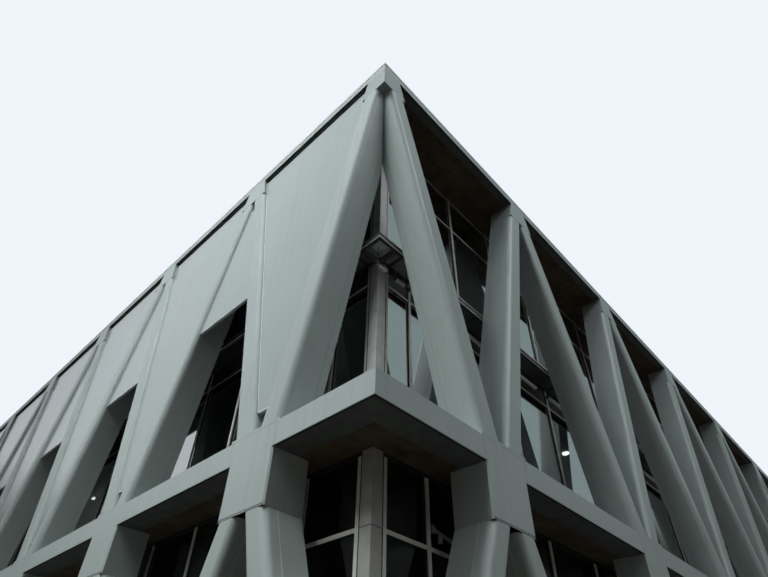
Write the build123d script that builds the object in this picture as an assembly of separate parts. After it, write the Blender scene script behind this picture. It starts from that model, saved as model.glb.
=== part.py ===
from build123d import *
from math import hypot
import os

# Sports centre with a leaning outer frame, in millimetres.
# The origin is on the ground under the middle of the plan, and +Z is up.
# South (-Y) and west (-X) are the two sides that meet at the leading corner.
os.makedirs("parts", exist_ok=True)

# Plan
bay_count = 6
long_bay = 4800
short_bay = 4200
corner_inset = 170

# Heights of the outer frame
mid_band_bottom = 4800
mid_band_height = 350
upper_zone_height = 7610
roof_band_height = 240
coping_height = 80

# Depths of the two bands, and how far the coping stands out over the upper one
mid_band_depth = 330
roof_band_depth = 200
coping_overhang = 5

# Upper legs
leg_width = 440
leg_depth = 600
leg_edge_radius = 100
leg_gap_at_roof = 20
leg_gap_at_foot = 130
foot_plate_height = 45
foot_plate_margin = 35

# Lower legs
lower_leg_width = 405
lower_leg_gap = 140
base_node_drop = 650

# Node plates
roof_plate_height = 610
mid_plate_height = 760
plate_edge_bevel = 22

# Wall panels of the west and east sides
panel_recess = 60
panel_thickness = 60
panel_bevel = 25
panel_top_gap = 130
tall_panel_lift = 325
upper_panel_tip_drop = 250

# Glass walls
upper_wall_setback = 1100
ground_wall_setback = 870
post_width = 200
mullion_proud = 20
rail_depth = 20
glass_thickness = 30
spandrel_thickness = 160
upper_bar = 50
ground_bar = 62
upper_rail_height = 36
ground_rail_height = 52
bars_in_bay = 3
long_bar_shift = 150
short_bar_shift = 840
least_pane_width = 500
ground_transom_drop = 960
upper_transom_drop = 1170

# Floors, roof and soffits
ground_floor_height = 120
ground_floor_lip = 50
soffit_thickness = 40
soffit_joint = 8
second_floor_rise = 3490
second_floor_thickness = 300
first_head_drop = 480
second_sill_rise = 780
roof_slab_thickness = 160

# Catwalk
catwalk_edge_setback = 660
catwalk_edge_width = 80
catwalk_edge_height = 140
catwalk_deck_thickness = 40
catwalk_joint = 8
bracket_width = 60

# Levels and setbacks that follow from the sizes above
mid_band_top = mid_band_bottom + mid_band_height
roof_band_bottom = mid_band_top + upper_zone_height
roof_top = roof_band_bottom + roof_band_height
coping_bottom = roof_top - coping_height
foot_plate_top = mid_band_top + foot_plate_height
roof_plate_bottom = roof_band_bottom - roof_plate_height
mid_plate_bottom = mid_band_bottom - mid_plate_height
second_floor_top = mid_band_top + second_floor_rise
first_head = second_floor_top - first_head_drop
second_sill = second_floor_top + second_sill_rise
catwalk_bottom = second_floor_top - catwalk_edge_height
deck_bottom = second_floor_top - catwalk_deck_thickness
panel_top = roof_band_bottom - panel_top_gap
wall_skin = mullion_proud + rail_depth
post_reach = upper_wall_setback + post_width
spandrel_front = upper_wall_setback + wall_skin
spandrel_back = spandrel_front + spandrel_thickness
spandrel_end = max(post_reach, spandrel_back)
ground_post_reach = ground_wall_setback + post_width
long_side = 2 * corner_inset + bay_count * long_bay
short_side = 2 * corner_inset + bay_count * short_bay

# Each side is drawn with u along it, v into the building and z up, then turned into place.
# The entries are the side's length, its bay, how far its first window bar stands after the
# first node line, and its place.
SIDES = {
    "south": (long_side, long_bay, long_bar_shift, Pos(-long_side / 2, -short_side / 2)),
    "east": (short_side, short_bay, short_bar_shift, Pos(long_side / 2, -short_side / 2) * Rot(0, 0, 90)),
    "north": (long_side, long_bay, long_bar_shift, Pos(long_side / 2, short_side / 2) * Rot(0, 0, 180)),
    "west": (short_side, short_bay, short_bar_shift, Pos(-long_side / 2, short_side / 2) * Rot(0, 0, -90)),
}


def save(name, shapes):
    """Write one node, which may hold several solids that stand apart."""
    solids = [solid for shape in shapes for solid in shape.solids()]
    export_step(Compound(solids), f"parts/{name}.step")


def block(u0, u1, v0, v1, z0, z1):
    """A plain block between two corners."""
    return Pos(u0, v0, z0) * Box(u1 - u0, v1 - v0, z1 - z0, align=Align.MIN)


def elevation_prism(points, v_front, v_back):
    """A prism seen in elevation: points are (u, z), and it runs from v_front to v_back."""
    face = Plane.XZ.offset(-v_back) * Polygon(*points, align=None)
    return extrude(face, amount=v_back - v_front)


def plan_prism(points, z0, z1):
    """A prism seen in plan: points are (u, v)."""
    return extrude(Pos(0, 0, z0) * Polygon(*points, align=None), amount=z1 - z0)


def ring_strip(length, v0, v1, z0, z1, joint=0):
    """One side of a ring round the building, mitred at both corners."""
    half = joint / 2
    outline = [
        (v0 + half, v0),
        (length - v0 - half, v0),
        (length - v1 - half, v1),
        (v1 + half, v1),
    ]
    return plan_prism(outline, z0, z1)


def node_lines(bay):
    """Places along a side where the frame meets the roof band."""
    return [corner_inset + index * bay for index in range(bay_count + 1)]


def mid_lines(bay):
    """Places along a side where the frame meets the mid band."""
    return [corner_inset + (index + 0.5) * bay for index in range(bay_count)]


def upper_lean(bay):
    """How far an upper leg's centre line moves sideways for each millimetre of height."""
    run = bay / 2 - leg_width - leg_gap_at_roof / 2 - leg_gap_at_foot / 2
    return run / (roof_plate_bottom - foot_plate_top)


def lower_lean(bay):
    """The same for a lower leg, which aims at a point under the ground at the node line."""
    run = bay / 2 - lower_leg_width - leg_gap_at_roof / 2 - lower_leg_gap / 2
    return run / (mid_plate_bottom + base_node_drop)


def leaning_leg(u_foot, z_foot, u_head, z_head, width):
    """A leg of even section with level ends, and with its two outer edges rounded."""
    section = Pos(u_foot, leg_depth / 2, z_foot) * Rectangle(width, leg_depth)
    outer_corners = section.vertices().group_by(Axis.Y)[0]
    section = fillet(outer_corners, leg_edge_radius)
    run = u_head - u_foot
    rise = z_head - z_foot
    return extrude(section, amount=hypot(run, rise), dir=(run, 0, rise))


def mitre_at_corners(leg, length):
    """Cut a leg back to the diagonals of the two building corners."""
    reach = 2 * leg_depth
    low = -1
    high = roof_top
    near = plan_prism([(0, 0), (reach, reach), (-reach, reach), (-reach, 0)], low, high)
    far_outline = [(length, 0), (length + reach, 0), (length + reach, reach), (length - reach, reach)]
    far = plan_prism(far_outline, low, high)
    return leg - near - far


def upper_legs(length, bay):
    """The zigzag between the foot plates and the roof plates, two legs to each bay."""
    at_foot = (leg_width + leg_gap_at_foot) / 2
    at_roof = (leg_width + leg_gap_at_roof) / 2
    legs = []
    for middle in mid_lines(bay):
        for way in (-1, 1):
            u_head = middle + way * (bay / 2 - at_roof)
            u_foot = middle + way * at_foot
            leg = leaning_leg(u_foot, foot_plate_top, u_head, roof_plate_bottom, leg_width)
            legs.append(leg)
    legs[0] = mitre_at_corners(legs[0], length)
    legs[-1] = mitre_at_corners(legs[-1], length)
    return legs


def foot_plates(bay):
    """The raised plates on the mid band that each carry two upper legs."""
    half = leg_gap_at_foot / 2 + leg_width + foot_plate_margin
    return [
        block(middle - half, middle + half, 0, leg_depth, mid_band_top, foot_plate_top)
        for middle in mid_lines(bay)
    ]


def lower_legs(length, bay):
    """Two legs under each mid plate, which spread towards the ground."""
    at_plate = (lower_leg_width + lower_leg_gap) / 2
    spread = lower_lean(bay) * mid_plate_bottom
    legs = []
    for middle in mid_lines(bay):
        for way in (-1, 1):
            u_head = middle + way * at_plate
            u_foot = u_head + way * spread
            leg = leaning_leg(u_foot, 0, u_head, mid_plate_bottom, lower_leg_width)
            legs.append(leg)
    legs[0] = mitre_at_corners(legs[0], length)
    legs[-1] = mitre_at_corners(legs[-1], length)
    return legs


def roof_plate_half_widths(bay):
    """Half widths of a roof plate at its foot and head, in line with its legs' outer edges."""
    foot = leg_width + leg_gap_at_roof / 2
    head = foot - upper_lean(bay) * roof_plate_height
    return foot, head


def roof_plates(bay):
    """The plates under the roof band that each take two legs, without the corner ones."""
    foot, head = roof_plate_half_widths(bay)
    plates = []
    for line in node_lines(bay)[1:-1]:
        outline = [
            (line - foot, roof_plate_bottom),
            (line + foot, roof_plate_bottom),
            (line + head, roof_band_bottom),
            (line - head, roof_band_bottom),
        ]
        plates.append(elevation_prism(outline, 0, leg_depth))
    return plates


def corner_plate_outline(bay):
    """Elevation of a corner plate on one of its two sides."""
    foot, head = roof_plate_half_widths(bay)
    return [
        (0, roof_plate_bottom),
        (corner_inset + foot, roof_plate_bottom),
        (corner_inset + head, roof_band_bottom),
        (0, roof_band_bottom),
    ]


def corner_plates():
    """One block at each corner, with the slope of both sides' plates."""
    reach = corner_inset + leg_width + leg_gap_at_roof
    along_long = elevation_prism(corner_plate_outline(long_bay), 0, reach)
    along_short = elevation_prism(corner_plate_outline(short_bay), 0, reach)
    turned = mirror(Rot(0, 0, 90) * along_short, about=Plane.YZ)
    quarter = Pos(-long_side / 2, -short_side / 2) * (along_long & turned)
    half = [quarter, mirror(quarter, about=Plane.YZ)]
    return half + [mirror(plate, about=Plane.XZ) for plate in half]


def mid_plates(bay):
    """The plates that hang under the mid band, with bevelled outer edges."""
    half = lower_leg_width + lower_leg_gap / 2
    plates = []
    for middle in mid_lines(bay):
        outline = Pos(middle, leg_depth / 2) * Rectangle(2 * half, leg_depth)
        outline = chamfer(outline.vertices().group_by(Axis.Y)[0], plate_edge_bevel)
        plates.append(extrude(Pos(0, 0, mid_plate_bottom) * outline, amount=mid_plate_height))
    return plates


def panel(outline):
    """A wall panel between two legs, with its front edge bevelled all round."""
    plain = elevation_prism(outline, panel_recess, panel_recess + panel_thickness)
    front = plain.faces().sort_by(Axis.Y)[0]
    return chamfer(front.edges(), panel_bevel)


def wall_panels(bay):
    """Tall panels that stand on their tips between legs, and short ones under the plates."""
    lean = upper_lean(bay)
    low_half = leg_gap_at_foot / 2 + lean * tall_panel_lift
    high_half = leg_gap_at_foot / 2 + lean * (panel_top - foot_plate_top)
    panels = []
    for middle in mid_lines(bay):
        tall = [
            (middle - low_half, foot_plate_top + tall_panel_lift),
            (middle + low_half, foot_plate_top + tall_panel_lift),
            (middle + high_half, panel_top),
            (middle - high_half, panel_top),
        ]
        panels.append(panel(tall))
    tip_half = leg_gap_at_roof / 2 + lean * upper_panel_tip_drop
    foot_half = leg_gap_at_roof / 2 + lean * (roof_plate_bottom - catwalk_bottom)
    for line in node_lines(bay)[1:-1]:
        short = [
            (line - foot_half, catwalk_bottom),
            (line + foot_half, catwalk_bottom),
            (line + tip_half, roof_plate_bottom - upper_panel_tip_drop),
            (line - tip_half, roof_plate_bottom - upper_panel_tip_drop),
        ]
        panels.append(panel(short))
    return panels


def bar_lines(length, bay, shift, post_end, width):
    """Places of the upright window bars: one beside each post, and the rest evenly between."""
    pitch = bay / bars_in_bay
    beside_post = post_end + width / 2
    count = bay_count * bars_in_bay + 1
    grid = [corner_inset + shift + index * pitch for index in range(count)]
    nearest = beside_post + least_pane_width
    inner = [u for u in grid if nearest < u < length - nearest]
    return [beside_post] + inner + [length - beside_post]


def mullions(lines, setback, width, z0, z1):
    """Upright window bars, which stand proud of the rails."""
    front = setback
    back = setback + mullion_proud
    return [block(u - width / 2, u + width / 2, front, back, z0, z1) for u in lines]


def rails(length, setback, post_end, bands):
    """Level window bars from post to post, each given by its lower and upper edge."""
    front = setback + mullion_proud
    back = setback + wall_skin
    return [block(post_end, length - post_end, front, back, z0, z1) for z0, z1 in bands]


def glass_sheet(length, setback, post_end, z0, z1):
    """One sheet of glass behind the bars of a storey."""
    front = setback + wall_skin
    return block(post_end, length - post_end, front, front + glass_thickness, z0, z1)


def centred_bar(level, height):
    """Lower and upper edge of a bar centred on a level."""
    return (level - height / 2, level + height / 2)


def catwalk_brackets(length, bay):
    """Cross bars under the deck: one at each corner post, and one at every second node line."""
    front = catwalk_edge_setback + catwalk_edge_width
    back = upper_wall_setback
    half = bracket_width / 2
    at_post = upper_wall_setback + half
    lines = [at_post] + node_lines(bay)[1:-1:2] + [length - at_post]
    return [block(u - half, u + half, front, back, catwalk_bottom, deck_bottom) for u in lines]


def full_plan(inset, z0, z1):
    """A slab over the whole plan, held back from every side by the same inset."""
    x_half = long_side / 2 - inset
    y_half = short_side / 2 - inset
    return block(-x_half, x_half, -y_half, y_half, z0, z1)


def corner_posts():
    """Square posts at the corners of the ground and upper glass walls."""
    posts = []
    for setback, z0, z1 in (
        (ground_wall_setback, ground_floor_height, mid_band_bottom),
        (upper_wall_setback, mid_band_top, roof_band_bottom),
    ):
        x_far = long_side / 2 - setback
        y_far = short_side / 2 - setback
        for x0 in (-x_far, x_far - post_width):
            for y0 in (-y_far, y_far - post_width):
                posts.append(block(x0, x0 + post_width, y0, y0 + post_width, z0, z1))
    return posts


# Outer frame, side by side
for side, (length, bay, shift, place) in SIDES.items():
    roof_band = ring_strip(length, 0, roof_band_depth, roof_band_bottom, coping_bottom)
    mid_band = ring_strip(length, 0, mid_band_depth, mid_band_bottom, mid_band_top)
    save(f"{side}_roof_band", [place * roof_band])
    save(f"{side}_mid_band", [place * mid_band])
    save(f"{side}_roof_plates", [place * plate for plate in roof_plates(bay)])
    save(f"{side}_mid_plates", [place * plate for plate in mid_plates(bay)])
    save(f"{side}_upper_legs", [place * leg for leg in upper_legs(length, bay)])
    save(f"{side}_lower_legs", [place * leg for leg in lower_legs(length, bay)])
save("corner_plates", corner_plates())

# Coping, foot plates, panels, glass walls, soffits and catwalk: each node holds its pieces on all sides
nodes = {
    "roof_coping": [],
    "foot_plates": [],
    "wall_panels": [],
    "mullions": [],
    "ground_rails": [],
    "upper_rails": [],
    "ground_glass": [],
    "first_glass": [],
    "second_glass": [],
    "spandrel_panels": [],
    "mid_soffit": [],
    "roof_soffit": [],
    "catwalk_decks": [],
    "catwalk_edges": [],
    "catwalk_brackets": [],
}
ground_rail_bands = [
    (ground_floor_height, ground_floor_height + ground_rail_height),
    centred_bar(mid_band_bottom - ground_transom_drop, ground_rail_height),
    (mid_band_bottom - ground_rail_height, mid_band_bottom),
]
upper_rail_bands = [
    (mid_band_top, mid_band_top + upper_rail_height),
    centred_bar(first_head, upper_rail_height),
    centred_bar(second_sill, upper_rail_height),
    centred_bar(roof_band_bottom - upper_transom_drop, upper_rail_height),
    (roof_band_bottom - upper_rail_height, roof_band_bottom),
]
for side, (length, bay, shift, place) in SIDES.items():
    ground_lines = bar_lines(length, bay, shift, ground_post_reach, ground_bar)
    upper_lines = bar_lines(length, bay, shift, post_reach, upper_bar)
    ground = (length, ground_wall_setback, ground_post_reach)
    upper = (length, upper_wall_setback, post_reach)
    pieces = {
        "roof_coping": [ring_strip(length, -coping_overhang, roof_band_depth, coping_bottom, roof_top)],
        "foot_plates": foot_plates(bay),
        "wall_panels": wall_panels(bay) if side in ("west", "east") else [],
        "mullions": [
            *mullions(ground_lines, ground_wall_setback, ground_bar, ground_floor_height, mid_band_bottom),
            *mullions(upper_lines, upper_wall_setback, upper_bar, mid_band_top, roof_band_bottom),
        ],
        "ground_rails": rails(*ground, ground_rail_bands),
        "upper_rails": rails(*upper, upper_rail_bands),
        "ground_glass": [glass_sheet(*ground, ground_floor_height, mid_band_bottom)],
        "first_glass": [glass_sheet(*upper, mid_band_top, first_head)],
        "second_glass": [glass_sheet(*upper, second_sill, roof_band_bottom)],
        "catwalk_brackets": catwalk_brackets(length, bay),
    }
    pieces["spandrel_panels"] = [
        block(spandrel_end, length - spandrel_end, spandrel_front, spandrel_back, first_head, second_sill)
    ]
    mid_top = mid_band_bottom + soffit_thickness
    roof_soffit_top = roof_band_bottom + soffit_thickness
    deck_front = catwalk_edge_setback + catwalk_edge_width
    pieces["mid_soffit"] = [
        ring_strip(length, mid_band_depth, ground_post_reach, mid_band_bottom, mid_top, soffit_joint)
    ]
    pieces["roof_soffit"] = [
        ring_strip(length, roof_band_depth, post_reach, roof_band_bottom, roof_soffit_top, soffit_joint)
    ]
    pieces["catwalk_decks"] = [
        ring_strip(length, deck_front, upper_wall_setback, deck_bottom, second_floor_top, catwalk_joint)
    ]
    pieces["catwalk_edges"] = [
        ring_strip(
            length, catwalk_edge_setback, deck_front, catwalk_bottom, second_floor_top, catwalk_joint
        )
    ]
    for name, shapes in pieces.items():
        nodes[name] += [place * shape for shape in shapes]
for name, shapes in nodes.items():
    save(name, shapes)

# Floors, roof and posts
first_floor_bottom = mid_band_bottom + soffit_thickness
roof_slab_bottom = roof_band_bottom + soffit_thickness
posts = corner_posts()
second_floor = full_plan(spandrel_back, second_floor_top - second_floor_thickness, second_floor_top)
for post in posts:
    second_floor -= post
save("ground_floor", [full_plan(ground_wall_setback - ground_floor_lip, 0, ground_floor_height)])
save("first_floor", [full_plan(mid_band_depth, first_floor_bottom, mid_band_top)])
save("second_floor", [second_floor])
save(
    "roof_slab",
    [full_plan(roof_band_depth, roof_slab_bottom, roof_slab_bottom + roof_slab_thickness)],
)
save("corner_posts", posts)
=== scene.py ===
from math import cos, pi, radians, sin
from typing import NamedTuple

import bpy
from mathutils import Matrix, Vector


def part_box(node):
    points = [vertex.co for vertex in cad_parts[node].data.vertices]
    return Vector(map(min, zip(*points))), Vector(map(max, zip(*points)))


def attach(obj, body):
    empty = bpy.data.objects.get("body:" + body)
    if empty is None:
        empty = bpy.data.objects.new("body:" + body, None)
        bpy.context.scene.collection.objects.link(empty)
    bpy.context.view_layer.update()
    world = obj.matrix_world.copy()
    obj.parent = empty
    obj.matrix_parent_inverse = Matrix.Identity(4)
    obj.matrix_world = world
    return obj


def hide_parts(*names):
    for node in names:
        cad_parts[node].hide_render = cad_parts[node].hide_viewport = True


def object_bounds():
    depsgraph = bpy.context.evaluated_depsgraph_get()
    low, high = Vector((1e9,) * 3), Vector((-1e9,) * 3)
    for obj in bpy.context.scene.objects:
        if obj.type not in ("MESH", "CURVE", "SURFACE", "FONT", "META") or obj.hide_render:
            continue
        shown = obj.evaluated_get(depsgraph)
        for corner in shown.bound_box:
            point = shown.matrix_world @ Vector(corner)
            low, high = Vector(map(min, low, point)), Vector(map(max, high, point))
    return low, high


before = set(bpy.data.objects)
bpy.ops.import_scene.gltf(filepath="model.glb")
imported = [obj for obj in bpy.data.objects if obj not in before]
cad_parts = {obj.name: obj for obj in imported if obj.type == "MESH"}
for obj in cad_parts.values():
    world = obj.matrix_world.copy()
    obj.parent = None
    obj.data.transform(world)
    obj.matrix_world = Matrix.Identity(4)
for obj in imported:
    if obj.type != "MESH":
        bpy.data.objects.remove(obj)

cad_low, cad_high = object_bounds()

# Camera: the eye, where it looks, and the photo's framing
PHOTO_WIDTH = 768
PHOTO_HEIGHT = 577
FOCAL_PIXELS = 535.445
AXIS_PIXEL = (378.343, 311.384)
EYE = (-18.064, -16.246, 1.596)
VIEW_AZIMUTH = 45.27016
VIEW_PITCH = 41.68386
VIEW_ROLL = 1.65484
SENSOR_MM = 36.0
FARTHEST = 1000

# Plan of the building, from the frame and its bays
HALF_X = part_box("south_mid_band")[1].x
HALF_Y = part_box("west_mid_band")[1].y
BAYS = 6
CORNER_INSET = 0.17
LONG_BAY = (2 * HALF_X - 2 * CORNER_INSET) / BAYS
SHORT_BAY = (2 * HALF_Y - 2 * CORNER_INSET) / BAYS

# Levels, from the frame
GROUND = cad_low.z
GROUND_FLOOR_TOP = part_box("ground_floor")[1].z
MID_PLATE_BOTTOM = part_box("south_mid_plates")[0].z
BAND_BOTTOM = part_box("south_mid_band")[0].z
BAND_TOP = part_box("south_mid_band")[1].z
FOOT_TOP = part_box("foot_plates")[1].z
FIRST_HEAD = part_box("first_glass")[1].z
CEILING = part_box("second_floor")[0].z
EDGE_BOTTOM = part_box("catwalk_edges")[0].z
DECK_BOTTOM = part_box("catwalk_decks")[0].z
DECK_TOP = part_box("catwalk_decks")[1].z
SECOND_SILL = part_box("second_glass")[0].z
ROOF_PLATE_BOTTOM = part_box("south_roof_plates")[0].z
ROOF_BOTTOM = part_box("south_roof_band")[0].z
SLAB_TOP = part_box("roof_slab")[1].z

# Depths behind a side's outer plane, from the frame
BAND_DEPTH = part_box("south_mid_band")[1].y + HALF_Y
ROOF_BAND_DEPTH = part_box("south_roof_band")[1].y + HALF_Y
EDGE_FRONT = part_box("catwalk_edges")[0].y + HALF_Y
DECK_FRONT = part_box("catwalk_decks")[0].y + HALF_Y
GROUND_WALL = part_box("mullions")[0].y + HALF_Y
RAIL_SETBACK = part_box("ground_rails")[0].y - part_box("mullions")[0].y
UPPER_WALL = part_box("upper_rails")[0].y + HALF_Y - RAIL_SETBACK
GROUND_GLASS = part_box("ground_glass")[0].y + HALF_Y
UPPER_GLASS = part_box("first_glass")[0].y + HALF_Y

# Legs, as the frame has them
LEG_WIDTH = 0.44
LEG_DEPTH = 0.6
GAP_AT_FOOT = 0.13
GAP_AT_ROOF = 0.02
LOWER_LEG_WIDTH = 0.405
LOWER_LEG_GAP = 0.14
BASE_NODE_DROP = 0.65

# Glass walls, as the frame has them
POST_WIDTH = 0.2
UPPER_BAR = 0.05
GROUND_BAR = 0.062
UPPER_RAIL = 0.036
GROUND_RAIL = 0.052
BARS_IN_BAY = 3
LEAST_PANE = 0.5
LONG_SHIFT = 0.15
SHORT_SHIFT = 0.84
GROUND_TRANSOM_DROP = 0.96
UPPER_TRANSOM_DROP = 1.17
GROUND_TRANSOM = BAND_BOTTOM - GROUND_TRANSOM_DROP
UPPER_TRANSOM = ROOF_BOTTOM - UPPER_TRANSOM_DROP


class Side(NamedTuple):
    """One side: u runs along it from its left end, v inwards from its outer plane, and z up."""
    length: float
    bay: float
    bar_shift: float
    place: Matrix

    def node_lines(self):
        """Where upper legs meet under the roof band, both corners among them."""
        return [CORNER_INSET + index * self.bay for index in range(BAYS + 1)]

    def mid_lines(self):
        """Where legs meet at the mid band."""
        return [CORNER_INSET + (index + 0.5) * self.bay for index in range(BAYS)]

    def upper_lean(self):
        """How far an upper leg's middle moves along the side for each metre of height."""
        run = self.bay / 2 - LEG_WIDTH - GAP_AT_ROOF / 2 - GAP_AT_FOOT / 2
        return run / (ROOF_PLATE_BOTTOM - FOOT_TOP)

    def lower_lean(self):
        """How far a lower leg's middle moves along the side for each metre of height."""
        run = self.bay / 2 - LOWER_LEG_WIDTH - GAP_AT_ROOF / 2 - LOWER_LEG_GAP / 2
        return run / (MID_PLATE_BOTTOM + BASE_NODE_DROP)

    def bar_lines(self, post_end, width):
        """Places of the upright window bars, as the frame has them."""
        beside_post = post_end + width / 2
        nearest = beside_post + LEAST_PANE
        first = CORNER_INSET + self.bar_shift
        grid = [first + index * self.bay / BARS_IN_BAY for index in range(BAYS * BARS_IN_BAY + 1)]
        inner = [u for u in grid if nearest < u < self.length - nearest]
        return [beside_post] + inner + [self.length - beside_post]


def turned(x, y, degrees_turned):
    """Where a side starts, and how its u, v and z lie in the row's frame."""
    return Matrix.Translation((x, y, 0)) @ Matrix.Rotation(radians(degrees_turned), 4, "Z")


SOUTH = Side(2 * HALF_X, LONG_BAY, LONG_SHIFT, turned(-HALF_X, -HALF_Y, 0))
EAST = Side(2 * HALF_Y, SHORT_BAY, SHORT_SHIFT, turned(HALF_X, -HALF_Y, 90))
NORTH = Side(2 * HALF_X, LONG_BAY, LONG_SHIFT, turned(HALF_X, HALF_Y, 180))
WEST = Side(2 * HALF_Y, SHORT_BAY, SHORT_SHIFT, turned(-HALF_X, HALF_Y, -90))
SIDES = (SOUTH, EAST, NORTH, WEST)

# Shapes: solids gathered in one mesh, each given in a side's own u, v and z
SLIVER = 0.002
ROD_SIDES = 16


class Shapes:
    """Solids that together make one piece of the building."""

    def __init__(self):
        self.points = []
        self.faces = []

    def prism(self, place, low, high):
        """A solid between two rings of as many points, with the high one above the low one."""
        start = len(self.points)
        count = len(low)
        self.points += [place @ Vector(point) for point in (*low, *high)]
        for index in range(count):
            after = (index + 1) % count
            self.faces.append((start + index, start + after, start + count + after, start + count + index))
        self.faces.append(tuple(start + count + index for index in range(count)))
        self.faces.append(tuple(start + count - 1 - index for index in range(count)))

    def upright(self, place, outline, z):
        """A solid with upright sides over an outline of u and v."""
        low, high = [[(*point, level) for point in outline] for level in z]
        self.prism(place, low, high)

    def box(self, place, u, v, z):
        """A box between two corners, with u, v and z each given as a low and a high value."""
        self.upright(place, [(u[0], v[0]), (u[1], v[0]), (u[1], v[1]), (u[0], v[1])], z)

    def leaning(self, place, foot, head, v, z):
        """A bar whose low and high ends each have their own u."""
        ends = []
        for u, level in ((foot, z[0]), (head, z[1])):
            ring = [(u[0], v[0]), (u[1], v[0]), (u[1], v[1]), (u[0], v[1])]
            ends.append([(*point, level) for point in ring])
        self.prism(place, *ends)

    def ring_strip(self, side, v, z):
        """One side of a ring round the building, mitred at both corners."""
        outline = [(v[0], v[0]), (side.length - v[0], v[0]), (side.length - v[1], v[1]), (v[1], v[1])]
        self.upright(side.place, outline, z)

    def across(self, side, u, v, z):
        """A bar across one side of a ring, cut off where it meets the corner diagonals."""
        start = max(u[0], v[0] + SLIVER)
        stop = min(u[1], side.length - v[0] - SLIVER)
        if stop - start < SLIVER:
            return
        ends = [min(v[1], at, side.length - at) for at in (start, stop)]
        self.upright(side.place, [(start, v[0]), (stop, v[0]), (stop, ends[1]), (start, ends[0])], z)

    def rod(self, place, start, end, radius, sides=ROD_SIDES):
        """A round bar between two points (u, v, z)."""
        middles = [place @ Vector(start), place @ Vector(end)]
        turn = (middles[1] - middles[0]).to_track_quat("Z", "Y")
        angles = [2 * pi * index / sides for index in range(sides)]
        spokes = [Vector((radius * cos(angle), radius * sin(angle), 0)) for angle in angles]
        rings = [[middle + turn @ spoke for spoke in spokes] for middle in middles]
        self.prism(Matrix(), *rings)

    def piece(self, name, material, slot, replaced=()):
        """Make the mesh a piece of the building."""
        mesh = bpy.data.meshes.new(name)
        mesh.from_pydata(self.points, [], self.faces)
        mesh.materials.append(material)
        mesh.update()
        made = bpy.data.objects.new(name, mesh)
        bpy.context.scene.collection.objects.link(made)
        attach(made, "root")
        if replaced:
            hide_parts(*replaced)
        return made


# Building blocks of the materials: ranges are low and high, and scales are for each metre
NOISE_RANGE = (0.3, 0.7)
FULL_RANGE = (0, 1)
DARKER = 0.8

# Sockets of a Mix node that mixes colours
MIX_SHARE = 0
MIX_FIRST = 6
MIX_SECOND = 7
MIX_RESULT = 2


def new_material(name):
    """A material with its node tree and its shader."""
    material = bpy.data.materials.new(name)
    material.use_nodes = True
    tree = material.node_tree
    return material, tree, tree.nodes["Principled BSDF"]


def noise(tree, scale, detail, stretch=(1, 1, 1)):
    """Noise fixed to the building, stretched along its axes."""
    where = tree.nodes.new("ShaderNodeTexCoord")
    mapping = tree.nodes.new("ShaderNodeMapping")
    mapping.inputs["Scale"].default_value = stretch
    tree.links.new(where.outputs["Object"], mapping.inputs["Vector"])
    texture = tree.nodes.new("ShaderNodeTexNoise")
    texture.inputs["Scale"].default_value = scale
    texture.inputs["Detail"].default_value = detail
    tree.links.new(mapping.outputs["Vector"], texture.inputs["Vector"])
    return texture.outputs["Fac"]


def spread(tree, value, given=NOISE_RANGE, result=FULL_RANGE):
    """A value taken from one range to another, and held at the ends."""
    node = tree.nodes.new("ShaderNodeMapRange")
    node.inputs["From Min"].default_value, node.inputs["From Max"].default_value = given
    node.inputs["To Min"].default_value, node.inputs["To Max"].default_value = result
    tree.links.new(value, node.inputs["Value"])
    return node.outputs["Result"]


def blended(tree, share, first, second):
    """A colour between two, by a share from 0 to 1."""
    mix = tree.nodes.new("ShaderNodeMix")
    mix.data_type = "RGBA"
    for socket, colour in ((mix.inputs[MIX_FIRST], first), (mix.inputs[MIX_SECOND], second)):
        if isinstance(colour, tuple):
            socket.default_value = (*colour, 1)
        else:
            tree.links.new(colour, socket)
    tree.links.new(share, mix.inputs[MIX_SHARE])
    return mix.outputs[MIX_RESULT]


def darker(colour):
    """The same colour in its darker tone."""
    return tuple(DARKER * part for part in colour)


def roughened(tree, shader, value, roughness, change, given=NOISE_RANGE):
    """Roughness that changes with a value, by a low and a high change."""
    ends = [roughness + part for part in change]
    tree.links.new(spread(tree, value, given, ends), shader.inputs["Roughness"])


def bump(tree, shader, height, strength, distance):
    """Small relief from a value."""
    node = tree.nodes.new("ShaderNodeBump")
    node.inputs["Strength"].default_value = strength
    node.inputs["Distance"].default_value = distance
    tree.links.new(height, node.inputs["Height"])
    tree.links.new(node.outputs["Normal"], shader.inputs["Normal"])


# Painted metal: broad tones, rain streaks, fine grain and waves in the sheet
BROAD_SCALE = 0.55
BROAD_RANGE = (0.35, 0.65)
BROAD_SHARE = 0.45
STREAK_SCALE = 1.0
STREAK_STRETCH = (9, 9, 0.35)
STREAK_RANGE = (0.45, 0.75)
STREAK_SHARE = 0.45
PAINT_GRAIN_SCALE = 30
PAINT_ROUGHNESS = (-0.04, 0.06)
WAVE_SCALE = 1.4
WAVE_HEIGHT = 0.01


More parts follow.
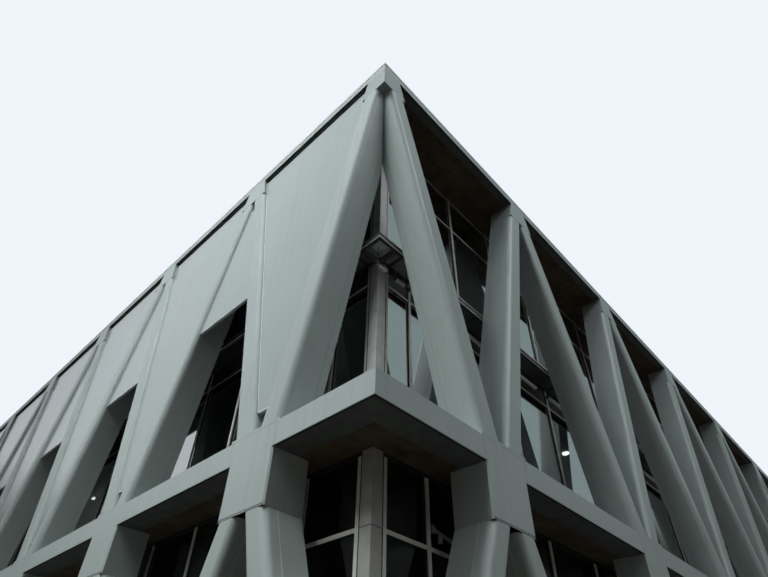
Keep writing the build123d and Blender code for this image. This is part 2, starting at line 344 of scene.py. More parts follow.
def painted_metal(name, pale, dark, roughness, specular, waves=0.12):
    """Satin paint with broad tone changes, faint rain streaks and slight waves in the sheet."""
    material, tree, shader = new_material(name)
    broad = spread(tree, noise(tree, BROAD_SCALE, detail=3), BROAD_RANGE)
    streaks = spread(tree, noise(tree, STREAK_SCALE, detail=4, stretch=STREAK_STRETCH), STREAK_RANGE)
    fine = spread(tree, noise(tree, PAINT_GRAIN_SCALE, detail=4))
    share = tree.nodes.new("ShaderNodeMath")
    share.operation = "MULTIPLY_ADD"
    tree.links.new(streaks, share.inputs[0])
    share.inputs[1].default_value = STREAK_SHARE
    tree.links.new(spread(tree, broad, FULL_RANGE, (0, BROAD_SHARE)), share.inputs[2])
    tree.links.new(blended(tree, share.outputs[0], pale, dark), shader.inputs["Base Color"])
    roughened(tree, shader, fine, roughness, PAINT_ROUGHNESS, FULL_RANGE)
    shader.inputs["Specular IOR Level"].default_value = specular
    bump(tree, shader, noise(tree, WAVE_SCALE, detail=2), waves, WAVE_HEIGHT)
    return material


# Other surfaces: how noise changes their roughness, and its relief
GRAIN_DETAIL = 5
GRAIN_ROUGHNESS = (-0.05, 0.08)
GRAIN_BUMP = 0.15
GRAIN_HEIGHT = 0.002


def plain_noisy(name, pale, dark, roughness, scale, specular=0.4, metallic=0.0):
    """A surface whose tone and roughness change by small noise."""
    material, tree, shader = new_material(name)
    value = noise(tree, scale, GRAIN_DETAIL)
    tree.links.new(blended(tree, spread(tree, value), pale, dark), shader.inputs["Base Color"])
    roughened(tree, shader, value, roughness, GRAIN_ROUGHNESS)
    shader.inputs["Specular IOR Level"].default_value = specular
    shader.inputs["Metallic"].default_value = metallic
    bump(tree, shader, value, GRAIN_BUMP, GRAIN_HEIGHT)
    return material


def lit_above_shaded_below_metal(name, ground, upper, roughness, scale):
    """Satin metal, paler above the mid band than below it: painted light above, painted shade below."""
    material, tree, shader = new_material(name)
    where = tree.nodes.new("ShaderNodeTexCoord")
    height = tree.nodes.new("ShaderNodeSeparateXYZ")
    tree.links.new(where.outputs["Object"], height.inputs["Vector"])
    # Share by height: painted light above the mid band, painted shade below it
    above = spread(tree, height.outputs["Z"], (BAND_BOTTOM, BAND_TOP))
    clear = blended(tree, above, ground, upper)
    value = noise(tree, scale, GRAIN_DETAIL)
    worn = blended(tree, above, darker(ground), darker(upper))
    tree.links.new(blended(tree, spread(tree, value), clear, worn), shader.inputs["Base Color"])
    roughened(tree, shader, value, roughness, GRAIN_ROUGHNESS)
    bump(tree, shader, value, GRAIN_BUMP, GRAIN_HEIGHT)
    return material


# Glass: slight waves in the panes
PANE_WAVE_SCALE = 0.8
PANE_WAVE_BUMP = 0.02
PANE_WAVE_HEIGHT = 0.01


def glass(name, tint, ior, roughness):
    """Dark glass with slight waves, which mirrors what is round it."""
    material, tree, shader = new_material(name)
    waves = noise(tree, PANE_WAVE_SCALE, detail=1)
    tree.links.new(blended(tree, spread(tree, waves), tint, darker(tint)), shader.inputs["Base Color"])
    shader.inputs["Roughness"].default_value = roughness
    shader.inputs["IOR"].default_value = ior
    shader.inputs["Transmission Weight"].default_value = 1.0
    bump(tree, shader, waves, PANE_WAVE_BUMP, PANE_WAVE_HEIGHT)
    return material


def glowing(material, colour, strength):
    """The same material, giving light of its own."""
    shader = material.node_tree.nodes["Principled BSDF"]
    shader.inputs["Emission Color"].default_value = (*colour, 1)
    shader.inputs["Emission Strength"].default_value = strength
    return material


# Paints: pale and dark tone, roughness, specular level and, where given, waves
frame_paint = painted_metal("frame_paint", (0.48, 0.54, 0.535), (0.40, 0.455, 0.445), 0.37, 0.35, 0.06)
panel_paint = painted_metal("panel_paint", (0.40, 0.455, 0.455), (0.35, 0.40, 0.40), 0.16, 0.5, 0.03)
# Near white: a painted highlight on the panels' folded edges
edge_highlight_paint = painted_metal("edge_highlight_paint", (0.92, 0.95, 0.95), (0.84, 0.87, 0.87), 0.35, 0.5)
# The coping's paler tone is a painted highlight along the roof band's top edge
coping_highlight_metal = painted_metal("coping_highlight_metal", (0.62, 0.65, 0.645), (0.55, 0.575, 0.57), 0.45, 0.3)
# The frame paint darkened: painted shade on the corner plates
corner_shade_paint = painted_metal("corner_shade_paint", (0.39, 0.44, 0.435), (0.325, 0.37, 0.36), 0.34, 0.35, 0.06)
seam_paint = painted_metal("seam_paint", (0.38, 0.41, 0.405), (0.32, 0.345, 0.34), 0.6, 0.2)
# The beads' pale tone is a painted highlight on the weld seams
weld_highlight_paint = painted_metal("weld_highlight_paint", (0.78, 0.83, 0.83), (0.64, 0.68, 0.68), 0.3, 0.5)

# Bars and trim of the glass walls: pale and dark tone, roughness and noise scale
window_metal = plain_noisy("window_metal", (0.74, 0.73, 0.68), (0.60, 0.59, 0.55), 0.38, 12)
# Posts: painted shade below the mid band, painted light above it
post_metal = lit_above_shaded_below_metal("post_metal", (0.46, 0.45, 0.435), (0.74, 0.73, 0.72), 0.36, 6)
spandrel_metal = plain_noisy("spandrel_metal", (0.075, 0.072, 0.066), (0.05, 0.048, 0.044), 0.35, 4)
# Black for real joints, gaskets and seams, and for strips of painted shade under the bands, over the
# ground windows and beside the panels
dark_joint_and_shade = plain_noisy(
    "dark_joint_and_shade", (0.022, 0.024, 0.024), (0.010, 0.011, 0.011), 0.7, 20, specular=0.2,
)

# Walkway and lamps
walkway_steel = plain_noisy("walkway_steel", (0.11, 0.105, 0.10), (0.065, 0.062, 0.06), 0.5, 18)
grating_steel = plain_noisy(
    "grating_steel", (0.11, 0.115, 0.115), (0.07, 0.074, 0.074), 0.5, 25, metallic=0.2,
)
light_arm = plain_noisy("light_arm", (0.34, 0.34, 0.33), (0.27, 0.27, 0.26), 0.45, 18)
# Darker than the walkway's steel: painted shade on the channel, its angle and its bars
channel_shade_paint = plain_noisy("channel_shade_paint", (0.045, 0.043, 0.044), (0.028, 0.027, 0.028), 0.5, 18)
# Pale steel for painted light: the highlight on the channel's lip and the light on the corner gratings
painted_light_steel = plain_noisy("painted_light_steel", (0.80, 0.82, 0.82), (0.62, 0.64, 0.64), 0.35, 20)

# Floors, roof and boards
concrete = plain_noisy("concrete", (0.16, 0.155, 0.145), (0.11, 0.105, 0.10), 0.85, 3, specular=0.3)
roof_sheet = plain_noisy("roof_sheet", (0.42, 0.42, 0.41), (0.35, 0.35, 0.34), 0.85, 1.5, specular=0.3)
roof_lap = plain_noisy("roof_lap", (0.30, 0.30, 0.295), (0.25, 0.25, 0.245), 0.8, 3, specular=0.3)
boards_wood = plain_noisy(
    "boards_wood", (0.11, 0.073, 0.042), (0.05, 0.034, 0.021), 0.55, 3, specular=0.3,
)
board_border = plain_noisy("board_border", (0.094, 0.10, 0.097), (0.065, 0.068, 0.067), 0.5, 6)

# Lamps and glass
tube_plastic = plain_noisy(
    "tube_plastic", (0.62, 0.64, 0.64), (0.50, 0.52, 0.52), 0.25, 10, specular=0.6,
)
lamp_glow = glowing(
    plain_noisy("lamp_glow", (0.9, 0.92, 0.9), (0.8, 0.82, 0.8), 0.4, 10),
    colour=(0.95, 1.0, 0.97), strength=30.0,
)
ground_glass = glass("ground_glass", (0.14, 0.16, 0.16), ior=1.45, roughness=0.02)
upper_glass = glass("upper_glass", (0.16, 0.20, 0.19), ior=5.0, roughness=0.012)

# The CAD nodes that aren't in the frame's paint
NODE_MATERIALS = {
    "roof_coping": coping_highlight_metal,
    "corner_plates": corner_shade_paint,
    "wall_panels": panel_paint,
    "corner_posts": post_metal,
    "mullions": window_metal,
    "ground_rails": window_metal,
    "upper_rails": window_metal,
    "ground_glass": ground_glass,
    "first_glass": upper_glass,
    "second_glass": upper_glass,
    "spandrel_panels": spandrel_metal,
    "mid_soffit": boards_wood,
    "roof_soffit": boards_wood,
    "ground_floor": concrete,
    "first_floor": concrete,
    "second_floor": concrete,
    "roof_slab": roof_sheet,
    "catwalk_decks": walkway_steel,
    "catwalk_edges": walkway_steel,
    "catwalk_brackets": walkway_steel,
}
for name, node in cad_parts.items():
    node.data.materials.clear()
    node.data.materials.append(NODE_MATERIALS.get(name, frame_paint))


# Walkway at the second floor
GRATING_PITCH = 0.033
GRATING_BAR = 0.004
GRATING_DEPTH = 0.032
CROSS_ROD_PITCH = 0.05
CROSS_ROD = 0.006
CHANNEL_SHEET = 0.008
CHANNEL_SETBACK = 0.012
CHANNEL_HEIGHT = 0.1
BRIGHT_LIP = 0.014
CROSS_BAR_WIDTH = 0.04
WALL_ANGLE = 0.05
CORNER_GRATING = (0.79, 0.99)
CORNER_GRATING_PITCH = 0.026
CORNER_GRATING_BAR = 0.012
SPANDREL_BAR_LEVEL = 9.22
SPANDREL_BAR = 0.03


def catwalk_grating():
    """Open grating between the channel and the glass wall, mitred at the corners."""
    shapes = Shapes()
    bar_z = (DECK_TOP - GRATING_DEPTH, DECK_TOP)
    rod_z = (DECK_TOP - 2 * CROSS_ROD, DECK_TOP - CROSS_ROD)
    rods = int((UPPER_WALL - DECK_FRONT) / CROSS_ROD_PITCH)
    for side in SIDES:
        bars = int((side.length - 2 * DECK_FRONT) / GRATING_PITCH) + 1
        for index in range(bars):
            u = DECK_FRONT + index * GRATING_PITCH
            shapes.across(side, (u, u + GRATING_BAR), (DECK_FRONT, UPPER_WALL), bar_z)
        for index in range(rods):
            v = DECK_FRONT + (index + 0.5) * CROSS_ROD_PITCH
            shapes.ring_strip(side, (v, v + CROSS_ROD), rod_z)
    shapes.piece("catwalk_grating", grating_steel, "walkway_steel", ["catwalk_decks"])


def catwalk_channels():
    """The channel on the walkway's outer edge, the angle along the glass and the bars between: painted
    shade.
    """
    shapes, lips = Shapes(), Shapes()
    front = EDGE_FRONT + CHANNEL_SETBACK
    foot = DECK_TOP - CHANNEL_HEIGHT
    angle = (UPPER_WALL - WALL_ANGLE, UPPER_WALL + 2 * RAIL_SETBACK)
    half = CROSS_BAR_WIDTH / 2
    bar_v = (DECK_FRONT, UPPER_WALL - SLIVER)
    bar_z = (DECK_BOTTOM - CROSS_BAR_WIDTH, DECK_BOTTOM)
    for side in SIDES:
        shapes.ring_strip(side, (front, front + CHANNEL_SHEET), (foot, DECK_TOP))
        for z in (foot, DECK_TOP - CHANNEL_SHEET):
            shapes.ring_strip(side, (front + CHANNEL_SHEET, DECK_FRONT), (z, z + CHANNEL_SHEET))
        shapes.ring_strip(side, angle, (DECK_BOTTOM - CHANNEL_SHEET, DECK_BOTTOM))
        for u in side.bar_lines(UPPER_WALL + POST_WIDTH, UPPER_BAR):
            shapes.across(side, (u - half, u + half), bar_v, bar_z)
        # A bright lip under the channel: a painted highlight
        lips.ring_strip(side, (front - SLIVER, front + BRIGHT_LIP), (foot - SLIVER, foot + BRIGHT_LIP))
    shapes.piece("catwalk_channels", channel_shade_paint, "walkway_steel", ["catwalk_edges"])
    lips.piece("catwalk_bright_lips", painted_light_steel, "walkway_steel")


def corner_gratings():
    """The lighter square of grating under each corner of the walkway: painted light."""
    shapes = Shapes()
    low, high = CORNER_GRATING
    top = DECK_TOP - GRATING_DEPTH - SLIVER
    bars = int((high - low) / CORNER_GRATING_PITCH) + 1
    for side in SIDES:
        for index in range(bars):
            at = low + index * CORNER_GRATING_PITCH
            bar = (at, at + CORNER_GRATING_BAR)
            shapes.box(side.place, bar, (low, high), (top - CORNER_GRATING_BAR, top))
            shapes.box(side.place, (low, high), bar, (top - CORNER_GRATING_BAR, top))
    shapes.piece("corner_gratings", painted_light_steel, "walkway_steel")


def spandrel_bars():
    """A thin pale bar of painted light across the closed strip over the walkway."""
    shapes = Shapes()
    post_end = UPPER_WALL + POST_WIDTH
    depth = (UPPER_WALL + RAIL_SETBACK / 2, UPPER_WALL + 2 * RAIL_SETBACK)
    level = (SPANDREL_BAR_LEVEL - SPANDREL_BAR / 2, SPANDREL_BAR_LEVEL + SPANDREL_BAR / 2)
    for side in SIDES:
        shapes.box(side.place, (post_end, side.length - post_end), depth, level)
    # Window metal here stands for painted light on the dark spandrel
    shapes.piece("spandrel_bars", window_metal, "window_metal")


# Tube lamps under the walkway
TUBE_SETBACK = 0.9
TUBE_LEVEL = 8.135
TUBE_RADIUS = 0.037
TUBE_CAP = 0.02
HANGER_RADIUS = 0.007
HANGER_SIDES = 8
CORNER_TUBES = [(0.86, 1.10), (1.30, 1.56), (1.66, 2.64)]
TUBE_LENGTH = 1.14
TUBE_PITCH = 1.6
FIRST_LONG_TUBE = 3.1


def tube_lamps():
    """Hanging tubes with end caps, along the two long sides."""
    tubes, fittings = Shapes(), Shapes()
    count = int((SOUTH.length - FIRST_LONG_TUBE - TUBE_SETBACK) / TUBE_PITCH)
    starts = [FIRST_LONG_TUBE + index * TUBE_PITCH for index in range(count)]
    spans = CORNER_TUBES + [(start, start + TUBE_LENGTH) for start in starts]
    for side in (SOUTH, NORTH):
        for u0, u1 in spans:
            ends = [(u, TUBE_SETBACK, TUBE_LEVEL) for u in (u0, u1)]
            tubes.rod(side.place, *ends, TUBE_RADIUS)
            for end, inward in ((u0, 1), (u1, -1)):
                cap = (end + inward * TUBE_CAP, TUBE_SETBACK, TUBE_LEVEL)
                face = (end - inward * SLIVER, TUBE_SETBACK, TUBE_LEVEL)
                fittings.rod(side.place, min(cap, face), max(cap, face), TUBE_RADIUS + SLIVER)
                foot = (cap[0], TUBE_SETBACK, TUBE_LEVEL + TUBE_RADIUS)
                head = (cap[0], TUBE_SETBACK, DECK_BOTTOM + SLIVER)
                fittings.rod(side.place, foot, head, HANGER_RADIUS, HANGER_SIDES)
    tubes.piece("walkway_tube_lamps", tube_plastic, "walkway_steel").visible_glossy = False
    fittings.piece("tube_lamp_fittings", walkway_steel, "walkway_steel").visible_glossy = False


# Lamps on the second floor's underside: where each stands along and behind its side
ROUND_LAMP = (9.31, 2.1)
ROUND_LAMP_RADIUS = 0.085
ROUND_LAMP_SIDES = 32
SQUARE_LAMP = (10.72, 2.29)
SQUARE_LAMP_HALF = 0.06
LAMP_DEPTH = 0.02


def ceiling_lamps():
    """The lit lamps that show on the second floor's underside."""
    shapes = Shapes()
    low = CEILING - LAMP_DEPTH
    u, v = ROUND_LAMP
    for side in (SOUTH, NORTH):
        shapes.rod(side.place, (u, v, low), (u, v, CEILING), ROUND_LAMP_RADIUS, ROUND_LAMP_SIDES)
    u, v = SQUARE_LAMP
    half = SQUARE_LAMP_HALF
    for side in (WEST, EAST):
        shapes.box(side.place, (u - half, u + half), (v - half / 2, v + half / 2), (low, CEILING))
    shapes.piece("ceiling_lamps", lamp_glow, "walkway_steel")


# Lights on the ground wall: the places of their rods are along the wall, out from it, and up
WALL_LIGHT_U = 2.03
WALL_LIGHT_LEVEL = 4.1
WALL_PLATE_HALF_WIDTH = 0.03
WALL_PLATE_HALF_HEIGHT = 0.05
WALL_PLATE_DEPTH = 0.03
LIGHT_ARM = ((0, 0.02, 0), (0.29, 0.11, -0.12))
LIGHT_ARM_RADIUS = 0.025
LIGHT_HEAD = ((0.07, 0.07, -0.17), (0.07, 0.07, -0.09))
LIGHT_HEAD_RADIUS = 0.03
LIGHT_NECK = ((0.07, 0.07, -0.09), (0.07, 0.05, -0.02))
LIGHT_NECK_RADIUS = 0.012


def wall_lights():
    """A small light on an arm, on the ground wall near the left end of each long side."""
    shapes = Shapes()
    u, z = WALL_LIGHT_U, WALL_LIGHT_LEVEL
    plate_u = (u - WALL_PLATE_HALF_WIDTH, u + WALL_PLATE_HALF_WIDTH)
    plate_v = (GROUND_GLASS - WALL_PLATE_DEPTH, GROUND_GLASS)
    plate_z = (z - WALL_PLATE_HALF_HEIGHT, z + WALL_PLATE_HALF_HEIGHT)
    rods = (
        (LIGHT_ARM, LIGHT_ARM_RADIUS),
        (LIGHT_HEAD, LIGHT_HEAD_RADIUS),
        (LIGHT_NECK, LIGHT_NECK_RADIUS),
    )
    for side in (SOUTH, NORTH):
        shapes.box(side.place, plate_u, plate_v, plate_z)
        for ends, radius in rods:
            start, end = [(u + along, GROUND_GLASS - out, z + up) for along, out, up in ends]
            shapes.rod(side.place, start, end, radius)
    shapes.piece("wall_lights", light_arm, "walkway_steel")


# Boarded undersides, and the dark trims and painted shadow along the bands
TRIM = 0.004
SHADOW_GAP = (0.014, 0.04)
BORDER_WIDTH = 0.1
MID_BOARD = 0.12
ROOF_BOARD = 0.15
BOARD_GAP = 0.006
BOARD_DEPTH = 0.035


def boards(name, node, front, back, level, width):
    """Boards across a ring of soffit, with an open joint between neighbours."""
    shapes = Shapes()
    for side in SIDES:
        count = int((side.length - 2 * front) / width)
        pitch = (side.length - 2 * front) / count
        for index in range(count):
            u = front + index * pitch
            span = (u + BOARD_GAP / 2, u + pitch - BOARD_GAP / 2)
            shapes.across(side, span, (front, back), (level, level + BOARD_DEPTH))
    shapes.piece(name, boards_wood, "soffit_boards", [node])


def mid_boards():
    """The boards under the mid band, inside the border."""
    front = BAND_DEPTH + BORDER_WIDTH
    boards("mid_soffit_boards", "mid_soffit", front, GROUND_WALL + POST_WIDTH, BAND_BOTTOM, MID_BOARD)


def roof_boards():
    """The boards under the roof's edge."""
    back = UPPER_WALL + POST_WIDTH
    boards("roof_soffit_boards", "roof_soffit", ROOF_BAND_DEPTH, back, ROOF_BOTTOM, ROOF_BOARD)


def band_trims():
    """Dark strips under both bands, black painted shadow behind the front edge, and the mid soffit's
    border.
    """
    grey, black = Shapes(), Shapes()
    border = (BAND_DEPTH, BAND_DEPTH + BORDER_WIDTH)
    for side in SIDES:
        for level, depth in ((BAND_BOTTOM, BAND_DEPTH), (ROOF_BOTTOM, ROOF_BAND_DEPTH)):
            # Painted shadow behind the band's front edge
            black.ring_strip(side, SHADOW_GAP, (level - SLIVER, level))
            grey.ring_strip(side, (SHADOW_GAP[1], depth), (level - TRIM, level))
        grey.ring_strip(side, border, (BAND_BOTTOM, BAND_BOTTOM + BOARD_DEPTH))
    grey.piece("band_trims", board_border, "frame_paint")
    black.piece("band_shadow_gaps", dark_joint_and_shade, "frame_paint")


# Seams and joints of the steel frame
SEAM = 0.008
SEAM_PROUD = 0.0015
UPPER_SEAM_SETBACK = 0.47
LOWER_SEAM_SETBACK = 0.22
SEAM_MARGIN = 0.03
END_PLATE = 0.024
BAND_JOINT_HALF = 0.5
PLATE_SIDE_SEAM = 0.03


class Leg(NamedTuple):
    """One leg of a side: its middle at both ends, their levels, its half width and its seam's setback."""
    foot: float
    head: float
    low: float
    high: float
    half: float
    seam_setback: float


def legs_of(side):
    """The upper and the lower legs of one side, in turn."""
    at_foot = (LEG_WIDTH + GAP_AT_FOOT) / 2
    at_roof = (LEG_WIDTH + GAP_AT_ROOF) / 2
    at_plate = (LOWER_LEG_WIDTH + LOWER_LEG_GAP) / 2
    reach = side.lower_lean() * MID_PLATE_BOTTOM
    legs = []
    for middle in side.mid_lines():
        for way in (-1, 1):
            foot = middle + way * at_foot
            head = middle + way * (side.bay / 2 - at_roof)
            legs.append(Leg(foot, head, FOOT_TOP, ROOF_PLATE_BOTTOM, LEG_WIDTH / 2, UPPER_SEAM_SETBACK))
            head = middle + way * at_plate
            foot = head + way * reach
            legs.append(Leg(foot, head, GROUND, MID_PLATE_BOTTOM, LOWER_LEG_WIDTH / 2, LOWER_SEAM_SETBACK))
    return legs


def stretch(low_u, high_u, low, high, least, most):
    """The part of a leaning line that stays between two places along the side."""
    shares = sorted((bound - low_u) / (high_u - low_u) for bound in (least, most))
    start, stop = max(0, shares[0]), min(1, shares[1])
    return [(low_u + at * (high_u - low_u), low + at * (high - low)) for at in (start, stop)]


def leg_seams():
    """A long weld seam on each side of a leg: low down a bead, pale as a painted highlight; a fine groove
    above.
    """
    grooves, beads = Shapes(), Shapes()
    for side in SIDES:
        for leg in legs_of(side):
            shapes = beads if leg.low == GROUND else grooves
            v = (leg.seam_setback - SEAM / 2, leg.seam_setback + SEAM / 2)
            margin = leg.seam_setback + SEAM_MARGIN
            for way in (-1, 1):
                edge = (leg.foot + way * leg.half, leg.head + way * leg.half)
                foot, head = stretch(*edge, leg.low, leg.high, margin, side.length - margin)
                if head[1] - foot[1] < leg.half:
                    continue
                low_u, high_u = [sorted((u, u + way * SEAM_PROUD)) for u, level in (foot, head)]
                shapes.leaning(side.place, low_u, high_u, v, (foot[1], head[1]))
    grooves.piece("leg_grooves", seam_paint, "frame_paint")
    beads.piece("leg_beads", weld_highlight_paint, "frame_paint")


def plate_joints():
    """Dark joints round the feet of the node plates, and faint ones through the mid band beside them."""
    dark, faint = Shapes(), Shapes()
    proud = (-SEAM_PROUD, 0)
    roof_half = LEG_WIDTH + GAP_AT_ROOF / 2
    mid_half = LOWER_LEG_WIDTH + LOWER_LEG_GAP / 2
    foot_half = GAP_AT_FOOT / 2 + LEG_WIDTH
    for side in SIDES:
        for line in side.node_lines()[1:-1]:
            seam = (ROOF_PLATE_BOTTOM - SEAM / 2, ROOF_PLATE_BOTTOM)
            dark.box(side.place, (line - roof_half, line + roof_half), proud, seam)
        for middle in side.mid_lines():
            for z in (MID_PLATE_BOTTOM, MID_PLATE_BOTTOM + END_PLATE):
                dark.box(side.place, (middle - mid_half, middle + mid_half), proud, (z, z + SEAM))
            wrap = (middle - mid_half - SEAM_PROUD, middle + mid_half + SEAM_PROUD)
            foot = (MID_PLATE_BOTTOM, MID_PLATE_BOTTOM + SEAM / 2)
            faint.box(side.place, wrap, (SLIVER, LEG_DEPTH + SEAM_PROUD), foot)
            upright = (PLATE_SIDE_SEAM, PLATE_SIDE_SEAM + SEAM)
            faint.box(side.place, wrap, upright, (MID_PLATE_BOTTOM, BAND_BOTTOM))
            for way in (-1, 1):
                joint = middle + way * BAND_JOINT_HALF
                width = (joint - SEAM / 4, joint + SEAM / 4)
                faint.box(side.place, width, proud, (BAND_BOTTOM, BAND_TOP))
            span = (middle - foot_half, middle + foot_half)
            faint.box(side.place, span, proud, (BAND_TOP - SEAM / 2, BAND_TOP))
    dark.piece("plate_joints", dark_joint_and_shade, "frame_paint")
    faint.piece("band_joints", seam_paint, "frame_paint")


# Windows: gaskets beside the bars, lines at the corner posts, and painted shade over the ground windows
GASKET = 0.014
GASKET_DEPTH = 0.008


class Wall(NamedTuple):
    """A glass wall: the depths of its bars' front and its pane, its bars, and the levels of its rails."""
    front: float
    pane: float
    bar: float
    rail: float
    levels: tuple


GROUND_LEVELS = (GROUND_FLOOR_TOP, GROUND_TRANSOM, BAND_BOTTOM)
UPPER_LEVELS = (BAND_TOP, FIRST_HEAD, SECOND_SILL, UPPER_TRANSOM, ROOF_BOTTOM)
WALLS = (
    Wall(GROUND_WALL, GROUND_GLASS, GROUND_BAR, GROUND_RAIL, GROUND_LEVELS),
    Wall(UPPER_WALL, UPPER_GLASS, UPPER_BAR, UPPER_RAIL, UPPER_LEVELS),
)


def gaskets():
    """Black rubber beside every window bar, in front of the glass."""
    shapes = Shapes()
    for side in SIDES:
        for wall in WALLS:
            bottom, *between, top = wall.levels
            start = wall.front + POST_WIDTH
            stop = side.length - start
            v = (wall.pane - GASKET_DEPTH, wall.pane)
            for u in side.bar_lines(start, wall.bar):
                for edge in (u - wall.bar / 2 - GASKET, u + wall.bar / 2):
                    if start < edge < stop:
                        shapes.box(side.place, (edge, edge + GASKET), v, (bottom, top))
            for level in between:
                for edge in (level - wall.rail / 2 - GASKET, level + wall.rail / 2):
                    shapes.box(side.place, (start, stop), v, (edge, edge + GASKET))
            for edge in (bottom + wall.rail, top - wall.rail - GASKET):
                shapes.box(side.place, (start, stop), v, (edge, edge + GASKET))
            for joint in ((start - GASKET, start + SLIVER), (stop - SLIVER, stop + GASKET)):
                shapes.box(side.place, joint, (wall.front - SEAM_PROUD, wall.front), (bottom, top))
    shapes.piece("window_gaskets", dark_joint_and_shade, "window_metal")


def post_joints():
    """The joint round each ground corner post, level with the transom."""
    shapes = Shapes()
    level = (GROUND_TRANSOM - SEAM / 2, GROUND_TRANSOM + SEAM / 2)
    near, far = GROUND_WALL - SEAM_PROUD, GROUND_WALL + POST_WIDTH + SEAM_PROUD
    for side in SIDES:
        for u in ((near, far), (side.length - far, side.length - near)):
            shapes.box(side.place, u, (near, near + 2 * SEAM_PROUD), level)
    shapes.piece("post_joints", dark_joint_and_shade, "window_metal")


def ground_head_shade():
    """A dark strip of painted shade over the ground windows, under the soffit."""
    shapes = Shapes()
    post_end = GROUND_WALL + POST_WIDTH
    depth = (GROUND_WALL - SEAM_PROUD, GROUND_GLASS)
    strip = (BAND_BOTTOM - GROUND_RAIL - SLIVER, BAND_BOTTOM)
    for side in SIDES:
        shapes.box(side.place, (post_end, side.length - post_end), depth, strip)
    shapes.piece("ground_head_shade", dark_joint_and_shade, "window_metal")


# Wall panels: painted shade along each leaning edge, and a painted highlight on the folded edge beside it
PANEL_RECESS = 0.06
PANEL_BEVEL = 0.025
TALL_PANEL_LIFT = 0.325
PANEL_TOP_GAP = 0.13
SHORT_PANEL_TIP_DROP = 0.25
PANEL_GAP = 0.01
PANEL_EDGE = 0.02
PANEL_FOOT = 0.022


def panels_of(side):
    """Each panel's middle line, how far its edge leans out at its foot and head, and their levels."""
    lean = side.upper_lean()
    panels = []
    for middle in side.mid_lines():
        levels = (FOOT_TOP + TALL_PANEL_LIFT, ROOF_BOTTOM - PANEL_TOP_GAP)
        reach = [GAP_AT_FOOT / 2 + lean * (z - FOOT_TOP) for z in levels]
        panels.append((middle, reach, levels))
    for line in side.node_lines()[1:-1]:
        levels = (EDGE_BOTTOM, ROOF_PLATE_BOTTOM - SHORT_PANEL_TIP_DROP)
        reach = [GAP_AT_ROOF / 2 + lean * (ROOF_PLATE_BOTTOM - z) for z in levels]
        panels.append((line, reach, levels))
    return panels


def panel_edges():
    """The gaps, painted shade, and the folded edges, painted highlight, of the tall and the short panels.
    """
    gaps, fold_highlights = Shapes(), Shapes()
    back = PANEL_RECESS + PANEL_BEVEL
    depth = (back - PANEL_GAP - SLIVER, back)
    fold = (PANEL_RECESS + SLIVER, back)
    for side in (WEST, EAST):
        for middle, reach, z in panels_of(side):
            for way in (-1, 1):
                ends = [sorted((middle + way * at, middle + way * (at - PANEL_GAP))) for at in reach]
                # Dark strips of painted shade along the panel's leaning edges
                gaps.leaning(side.place, *ends, depth, z)
            ends = [(middle - at + PANEL_GAP, middle - at + PANEL_GAP + PANEL_EDGE) for at in reach]
            # Bright strips of painted highlight on the folded edges
            fold_highlights.leaning(side.place, *ends, fold, z)
            fold_highlights.box(side.place, (middle - reach[0], middle + reach[0]), fold, (z[0], z[0] + PANEL_FOOT))
    gaps.piece("panel_gap_shade", dark_joint_and_shade, "panel_paint")
    fold_highlights.piece("panel_edges", edge_highlight_paint, "panel_paint")


# Roof: raised seams of the sheet
ROOF_SEAM_PITCH = 1.5
ROOF_SEAM_WIDTH = 0.04
ROOF_SEAM_HEIGHT = 0.01


def roof_seams():
    """Raised seams over the roof sheet, from one long side to the other."""
    shapes = Shapes()
    half_x, half_y = HALF_X - ROOF_BAND_DEPTH, HALF_Y - ROOF_BAND_DEPTH
    count = int(2 * half_x / ROOF_SEAM_PITCH)
    for index in range(1, count + 1):
        x = -half_x + index * 2 * half_x / (count + 1)
        width = (x - ROOF_SEAM_WIDTH / 2, x + ROOF_SEAM_WIDTH / 2)
        shapes.box(Matrix(), width, (-half_y, half_y), (SLAB_TOP, SLAB_TOP + ROOF_SEAM_HEIGHT))
    shapes.piece("roof_seams", roof_lap, "roof_sheet")


catwalk_grating()
catwalk_channels()
corner_gratings()
spandrel_bars()
tube_lamps()
ceiling_lamps()
wall_lights()
mid_boards()
roof_boards()
band_trims()
ground_head_shade()
leg_seams()
plate_joints()
gaskets()
post_joints()
panel_edges()
roof_seams()


# Floor: pale to the camera, and duller in the light that it throws back
FLOOR_HALF = 300
FLOOR_PALE = (0.45, 0.455, 0.46)
FLOOR_TO_LIGHT = (0.16, 0.145, 0.125)
FLOOR_GLOW = (0.40, 0.405, 0.41)
FLOOR_ROUGHNESS = 0.9


def make_floor():
    """A wide plain floor, which isn't part of the building."""
    mesh = bpy.data.meshes.new("floor")
    signs = ((-1, -1), (1, -1), (1, 1), (-1, 1))
    mesh.from_pydata([(x * FLOOR_HALF, y * FLOOR_HALF, 0) for x, y in signs], [], [(0, 1, 2, 3)])
    floor = bpy.data.objects.new("floor", mesh)
    bpy.context.scene.collection.objects.link(floor)
    material, tree, shader = new_material("floor")
    light_path = tree.nodes.new("ShaderNodeLightPath")
    colour = blended(tree, light_path.outputs["Is Diffuse Ray"], FLOOR_PALE, FLOOR_TO_LIGHT)
    tree.links.new(colour, shader.inputs["Base Color"])
    glow = blended(tree, light_path.outputs["Is Camera Ray"], (0, 0, 0), FLOOR_GLOW)
    tree.links.new(glow, shader.inputs["Emission Color"])
    shader.inputs["Emission Strength"].default_value = 1.0
    shader.inputs["Roughness"].default_value = FLOOR_ROUGHNESS
    mesh.materials.append(material)


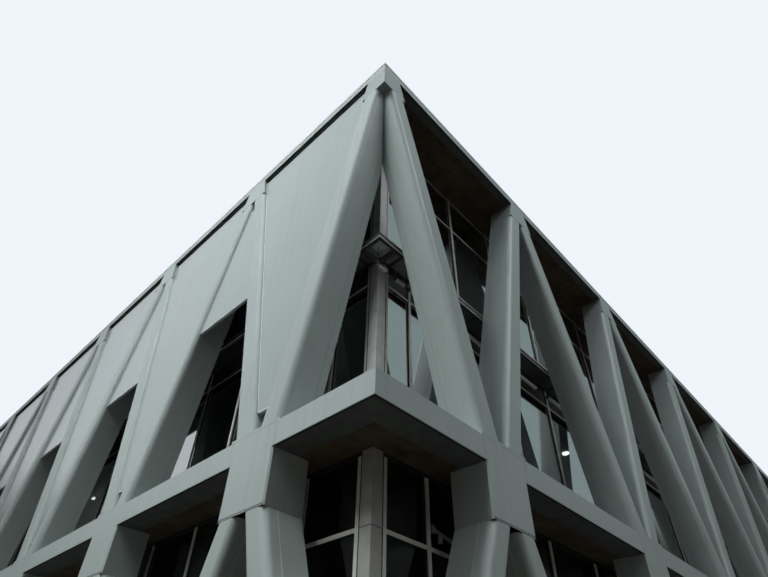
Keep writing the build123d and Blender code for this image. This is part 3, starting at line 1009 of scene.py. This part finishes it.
def make_lamp(name, place, target, size, watts, colour, beam=180, mirrored=True):
    """A round soft lamp aimed at a target, with its beam in degrees."""
    lamp = bpy.data.lights.new(name, "AREA")
    lamp.shape = "DISK"
    lamp.size = size
    lamp.energy = watts
    lamp.color = colour
    lamp.spread = radians(beam)
    holder = bpy.data.objects.new(name, lamp)
    holder.visible_glossy = mirrored
    aim = Vector(target) - Vector(place)
    holder.matrix_world = Matrix.Translation(place) @ aim.to_track_quat("-Z", "Y").to_matrix().to_4x4()
    bpy.context.scene.collection.objects.link(holder)


def make_lamps():
    """The studio's lamps: one for each side that the photo shows, two for the others, one from behind."""
    make_lamp(
        "west", (-32.5, -9.5, 29), target=(-14.5, -9.0, 9), size=16, watts=1190,
        colour=(0.94, 1.0, 0.99), beam=60, mirrored=False,
    )
    make_lamp(
        "south", (-11, -34, 34), target=(-11, -12.7, 10), size=20, watts=800,
        colour=(0.92, 0.98, 1.0), beam=80,
    )
    make_lamp(
        "north_west", (-24, 42, 30), target=(-12, 14, 7), size=10, watts=620,
        colour=(0.98, 0.99, 1.0), beam=36, mirrored=False,
    )
    make_lamp(
        "south_east", (42, -24, 30), target=(14, -11, 7), size=10, watts=700,
        colour=(0.98, 0.99, 1.0), beam=36, mirrored=False,
    )
    make_lamp(
        "back", (34, 38, 42), target=(8, 8, 6), size=20, watts=24000,
        colour=(0.98, 0.99, 1.0),
    )


# World: the light all round, the backdrop, and what glass and metal mirror
LIGHT_ALL_ROUND = (0.062, 0.061, 0.057)
BACKDROP = (0.86, 0.91, 0.96)
FAR_SIDE = (0.37, 0.47, 0.48)
SURROUNDINGS = (0.08, 0.085, 0.085)

# The way in which the mirrored backdrop gets paler, and the range over which it does
PALER_WAY = (-0.7, 0.7, 0)
PALER_RANGE = (-0.6, 0.6)

# Sine of the heights between which the mirrored surroundings give way to the backdrop
HORIZON = (0.28, 0.36)


def make_world():
    """A plain pale backdrop, which the glass and the paint mirror with a darker far side and foot."""
    world = bpy.data.worlds.new("studio")
    bpy.context.scene.world = world
    world.use_nodes = True
    tree = world.node_tree
    light_path = tree.nodes.new("ShaderNodeLightPath")
    seen = light_path.outputs["Is Camera Ray"]
    for other in ("Is Glossy Ray", "Is Transmission Ray"):
        either = tree.nodes.new("ShaderNodeMath")
        either.operation = "MAXIMUM"
        tree.links.new(seen, either.inputs[0])
        tree.links.new(light_path.outputs[other], either.inputs[1])
        seen = either.outputs[0]
    where = tree.nodes.new("ShaderNodeTexCoord")
    toward = tree.nodes.new("ShaderNodeVectorMath")
    toward.operation = "DOT_PRODUCT"
    toward.inputs[1].default_value = PALER_WAY
    tree.links.new(where.outputs["Generated"], toward.inputs[0])
    mirrored = blended(tree, spread(tree, toward.outputs["Value"], PALER_RANGE), FAR_SIDE, BACKDROP)
    height = tree.nodes.new("ShaderNodeSeparateXYZ")
    tree.links.new(where.outputs["Generated"], height.inputs["Vector"])
    mirrored = blended(tree, spread(tree, height.outputs["Z"], HORIZON), SURROUNDINGS, mirrored)
    mirrored = blended(tree, light_path.outputs["Is Glossy Ray"], BACKDROP, mirrored)
    colour = blended(tree, seen, LIGHT_ALL_ROUND, mirrored)
    tree.links.new(colour, tree.nodes["Background"].inputs["Color"])


def make_camera():
    """The camera at the photo's place, angle and framing."""
    lens = bpy.data.cameras.new("camera")
    lens.sensor_width = SENSOR_MM
    lens.lens = FOCAL_PIXELS / PHOTO_WIDTH * SENSOR_MM
    lens.shift_x = (PHOTO_WIDTH / 2 - AXIS_PIXEL[0]) / PHOTO_WIDTH
    lens.shift_y = (AXIS_PIXEL[1] - PHOTO_HEIGHT / 2) / PHOTO_WIDTH
    lens.clip_end = FARTHEST
    camera = bpy.data.objects.new("camera", lens)
    turn = Matrix.Rotation(radians(-VIEW_AZIMUTH), 4, "Z")
    tilt = Matrix.Rotation(radians(90 + VIEW_PITCH), 4, "X")
    roll = Matrix.Rotation(radians(VIEW_ROLL), 4, "Z")
    camera.matrix_world = Matrix.Translation(EYE) @ turn @ tilt @ roll
    bpy.context.scene.collection.objects.link(camera)
    bpy.context.scene.camera = camera


make_floor()
make_lamps()
make_world()
make_camera()
bpy.context.scene.view_settings.view_transform = "Standard"
